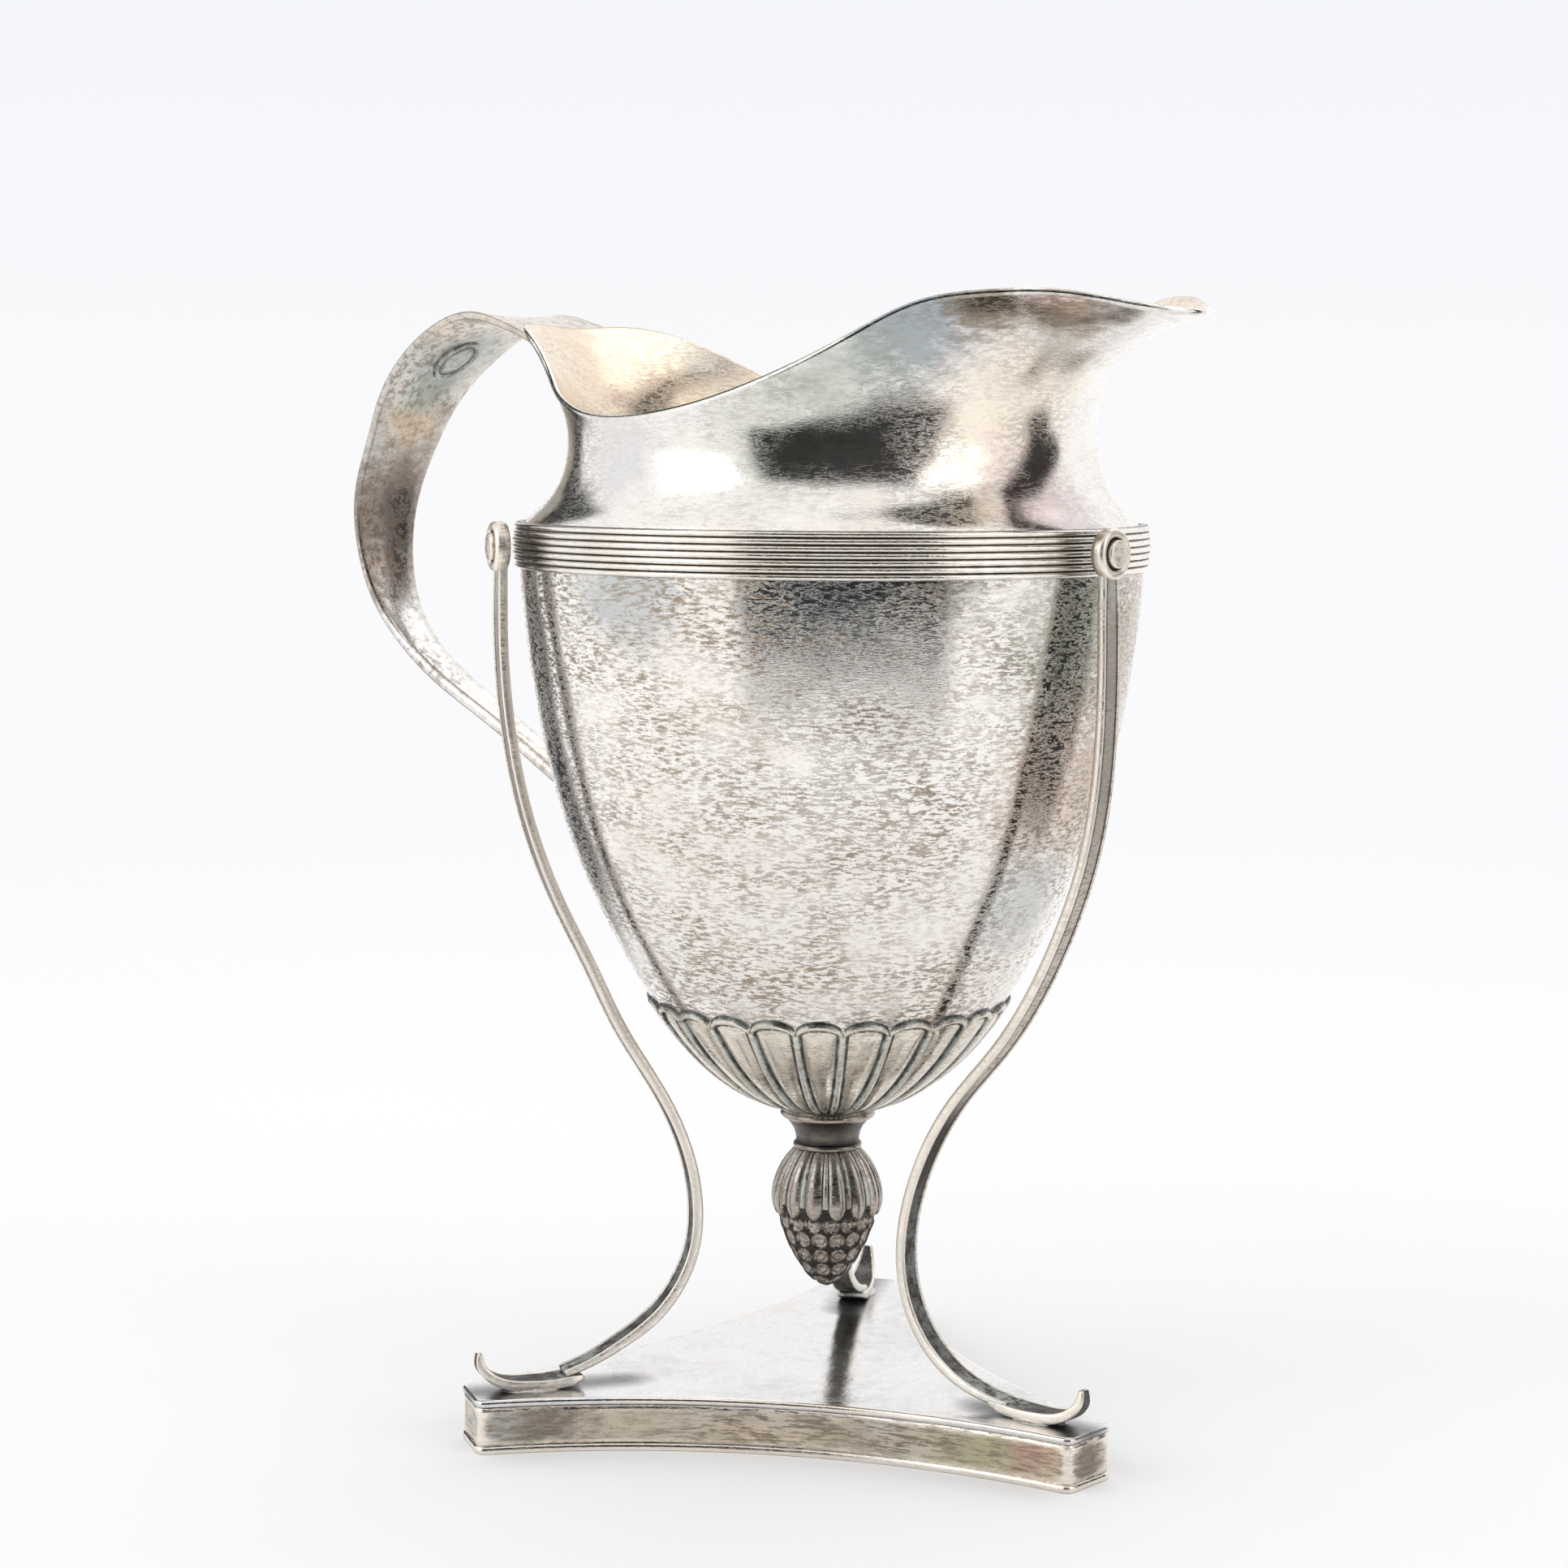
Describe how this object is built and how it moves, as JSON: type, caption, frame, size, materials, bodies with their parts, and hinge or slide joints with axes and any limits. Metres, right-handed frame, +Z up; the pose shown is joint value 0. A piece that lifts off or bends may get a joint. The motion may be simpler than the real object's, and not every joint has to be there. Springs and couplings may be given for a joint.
{
  "type": "cream jug",
  "caption": "Helmet-shaped silver cream jug with a pulled lip and strap handle, its vase body riveted to strap legs on a hollow-sided three-cornered base.",
  "frame": {"origin": "on the table, directly below the axis of the round body; the three-cornered base sits 2.2 mm off it", "axes": "+Z up along the axis of the round body, +X towards the pouring spout, handle on the -X side"},
  "size_m": [0.1396, 0.0827, 0.143],
  "materials": {
    "silver_body": "polished silver with light iridescent tarnish",
    "silver_neck": "polished silver with yellow and violet tarnish",
    "silver_strap": "polished silver strap with brown tarnish in the grooves",
    "silver_cast": "cast and chased silver, dark in the recesses",
    "silver_base": "polished silver with olive and rainbow tarnish"
  },
  "bodies": {
    "root": {"body": "silver_body", "neck": "silver_neck", "reeded_band": "silver_cast", "calyx": "silver_cast", "collar": "silver_cast", "finial_leaves": "silver_cast", "finial_berry": "silver_cast", "finial_pin": "silver_cast", "handle": "silver_strap", "handle_rosette": "silver_strap", "leg_spout": "silver_strap", "leg_left": "silver_strap", "leg_right": "silver_strap", "boss_ring_spout": "silver_cast", "boss_ring_left": "silver_cast", "boss_ring_right": "silver_cast", "rivet_spout": "silver_cast", "rivet_left": "silver_cast", "rivet_right": "silver_cast", "foot_pad_spout": "silver_base", "foot_pad_left": "silver_base", "foot_pad_right": "silver_base", "base_plate": "silver_base", "base_wall": "silver_base", "base_foot_wire": "silver_base"}
  },
  "joints": []
}
